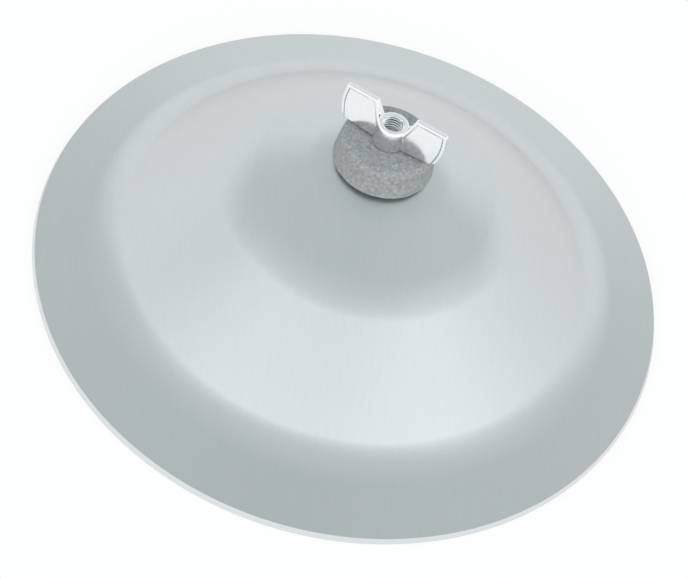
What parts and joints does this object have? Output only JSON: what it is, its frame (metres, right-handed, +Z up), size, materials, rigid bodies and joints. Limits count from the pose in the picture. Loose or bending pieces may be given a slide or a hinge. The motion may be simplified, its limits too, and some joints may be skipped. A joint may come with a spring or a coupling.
{
  "type": "bell cymbal",
  "caption": "Spun aluminium bell cymbal with a domed crown and shallow brim, clamped between felt washers on a threaded stud by a wing nut.",
  "frame": {"origin": "on the bell's axis, in the plane that its rim rests on", "axes": "+Z up along the bell's axis, from the rim to the crown; +X and +Y level"},
  "size_m": [0.254, 0.254, 0.0989],
  "materials": {
    "bell": "satin, spun, with a brighter turned rim edge",
    "felt": "pressed grey wool felt with pale flecks",
    "sleeve": "moulded nylon",
    "washer": "zinc plated",
    "stud": "turned and zinc plated",
    "wing_nut": "cast and chrome plated"
  },
  "bodies": {
    "bell": {"bell_shell": "bell"},
    "felts": {"lower_felt": "felt", "top_felt": "felt"},
    "mount": {"mounting_stud": "stud", "cup_washer": "washer"},
    "sleeve": {"sleeve": "sleeve"},
    "wing_nut": {"wing_nut": "wing_nut"}
  },
  "joints": [
    {"name": "mount_turn", "type": "hinge", "parent": "bell", "child": "felts", "pos_m": [0, 0, 0.06836], "axis": [0, 0, 1], "continuous": true},
    {"name": "mount_rock", "type": "hinge", "parent": "felts", "child": "mount", "pos_m": [0, 0, 0.06836], "axis": [1, 0, 0], "range_deg": [-6, 6], "stiffness_Nm_per_rad": 0.8, "deforming": ["top_felt", "lower_felt"]},
    {"name": "nut_travel", "type": "slide", "parent": "mount", "child": "sleeve", "axis": [0, 0, 1], "range_m": [0, 0.0032]},
    {"name": "nut_turn", "type": "hinge", "parent": "sleeve", "child": "wing_nut", "pos_m": [0, 0, 0.08231], "axis": [0, 0, 1], "range_deg": [0, 900]}
  ],
  "couplings": [
    {"joint": "nut_travel", "follows": "nut_turn", "m_per_rad": 0.00019894}
  ]
}
